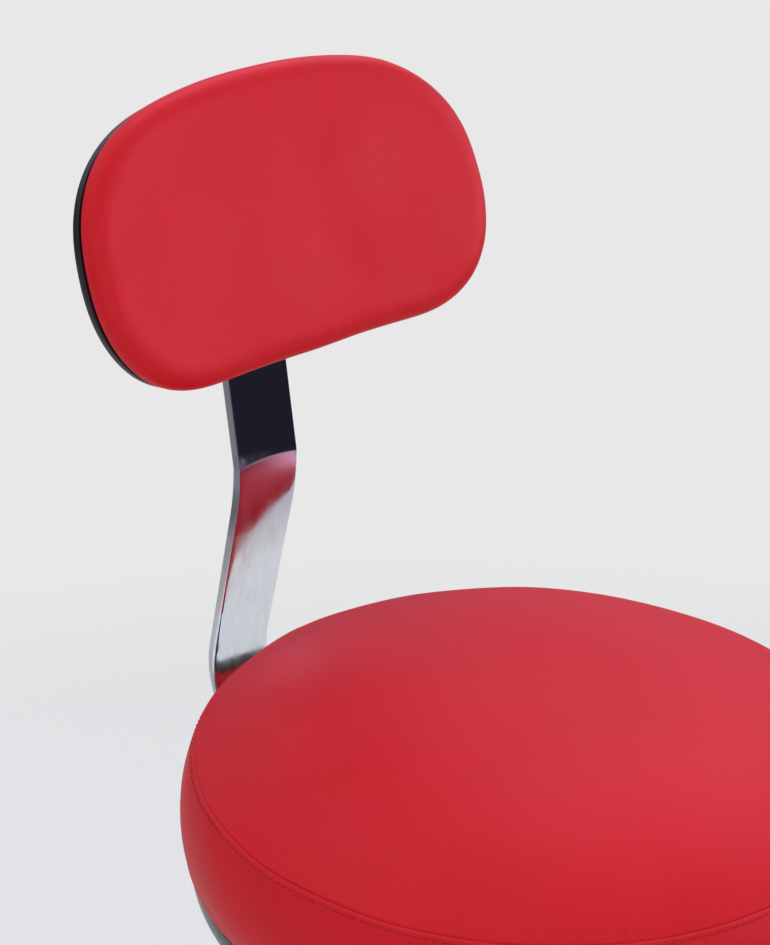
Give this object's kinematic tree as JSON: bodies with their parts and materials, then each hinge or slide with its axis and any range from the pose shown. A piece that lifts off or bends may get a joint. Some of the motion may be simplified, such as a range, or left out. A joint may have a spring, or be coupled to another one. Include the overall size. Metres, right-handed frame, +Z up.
{
  "type": "counter stool",
  "caption": "Swivelling, height-adjustable counter stool with a thick round red leather cushion, a low padded backrest on a bent flat bar, a foot ring and a trumpet base.",
  "frame": {"origin": "on the floor, at the middle of the base's underside, on the column's axis", "axes": "+Z up along the column, -Y towards the sitter's front, +Y towards the backrest, +X to the sitter's left"},
  "size_m": [0.45, 0.489, 0.9561],
  "materials": {
    "red_leather": "satin",
    "foam": "matte",
    "plywood": "matte",
    "black_shell": "satin",
    "black_pan": "satin",
    "chrome": "polished",
    "black_steel": "satin",
    "zinc_steel": "satin",
    "cast_iron": "matte",
    "rubber": "matte",
    "nylon": "satin"
  },
  "bodies": {
    "base": {"floor_pad": "rubber", "ballast_plate": "cast_iron", "base_trumpet": "chrome", "base_hub": "black_steel", "neck_collar": "chrome", "column_tube": "chrome", "guide_bush": "black_pan", "foot_clamp": "chrome", "clamp_screw": "black_steel", "foot_ring": "chrome", "foot_spoke_1": "chrome", "foot_spoke_2": "chrome", "foot_spoke_3": "chrome", "foot_spoke_4": "chrome"},
    "rod": {"piston_rod": "chrome", "piston": "nylon", "rod_clip": "zinc_steel", "lower_thrust_washer": "zinc_steel", "thrust_bearing": "zinc_steel", "upper_thrust_washer": "zinc_steel", "rod_bumper": "rubber"},
    "seat": {"gas_cylinder": "chrome", "rod_guide": "nylon", "mechanism_plate": "black_steel", "taper_socket": "black_steel", "lever_pin": "zinc_steel", "seat_pan": "black_pan", "seat_board": "plywood", "seat_foam": "foam", "seat_top_panel": "red_leather", "seat_side_band": "red_leather", "backrest_bar": "chrome", "back_shell": "black_shell", "back_board": "plywood", "back_foam": "foam", "back_leather": "red_leather", "plate_bolt_1": "zinc_steel", "plate_nut_1": "zinc_steel", "plate_bolt_2": "zinc_steel", "plate_nut_2": "zinc_steel", "plate_bolt_3": "zinc_steel", "plate_nut_3": "zinc_steel", "plate_bolt_4": "zinc_steel", "plate_nut_4": "zinc_steel", "bar_bolt_1": "zinc_steel", "bar_nut_1": "zinc_steel", "back_screw_1": "black_steel", "back_nut_1": "zinc_steel", "bar_bolt_2": "zinc_steel", "bar_nut_2": "zinc_steel", "back_screw_2": "black_steel", "back_nut_2": "zinc_steel"},
    "lever": {"height_lever": "chrome", "lever_grip": "black_pan"},
    "valve": {"valve_pin": "zinc_steel"}
  },
  "joints": [
    {"name": "swivel", "type": "hinge", "parent": "base", "child": "rod", "pos_m": [0, 0, 0.016], "axis": [0, 0, 1], "continuous": true},
    {"name": "lift", "type": "slide", "parent": "rod", "child": "seat", "axis": [0, 0, 1], "range_m": [0, 0.2]},
    {"name": "release", "type": "hinge", "parent": "seat", "child": "lever", "pos_m": [-0.035, 0, 0.526], "axis": [0, 1, 0], "range_deg": [0, 5], "stiffness_Nm_per_rad": 1.5},
    {"name": "valve_press", "type": "slide", "parent": "seat", "child": "valve", "axis": [0, 0, -1], "range_m": [0, 0.0031]}
  ],
  "couplings": [
    {"joint": "valve_press", "follows": "release", "m_per_rad": 0.035}
  ]
}
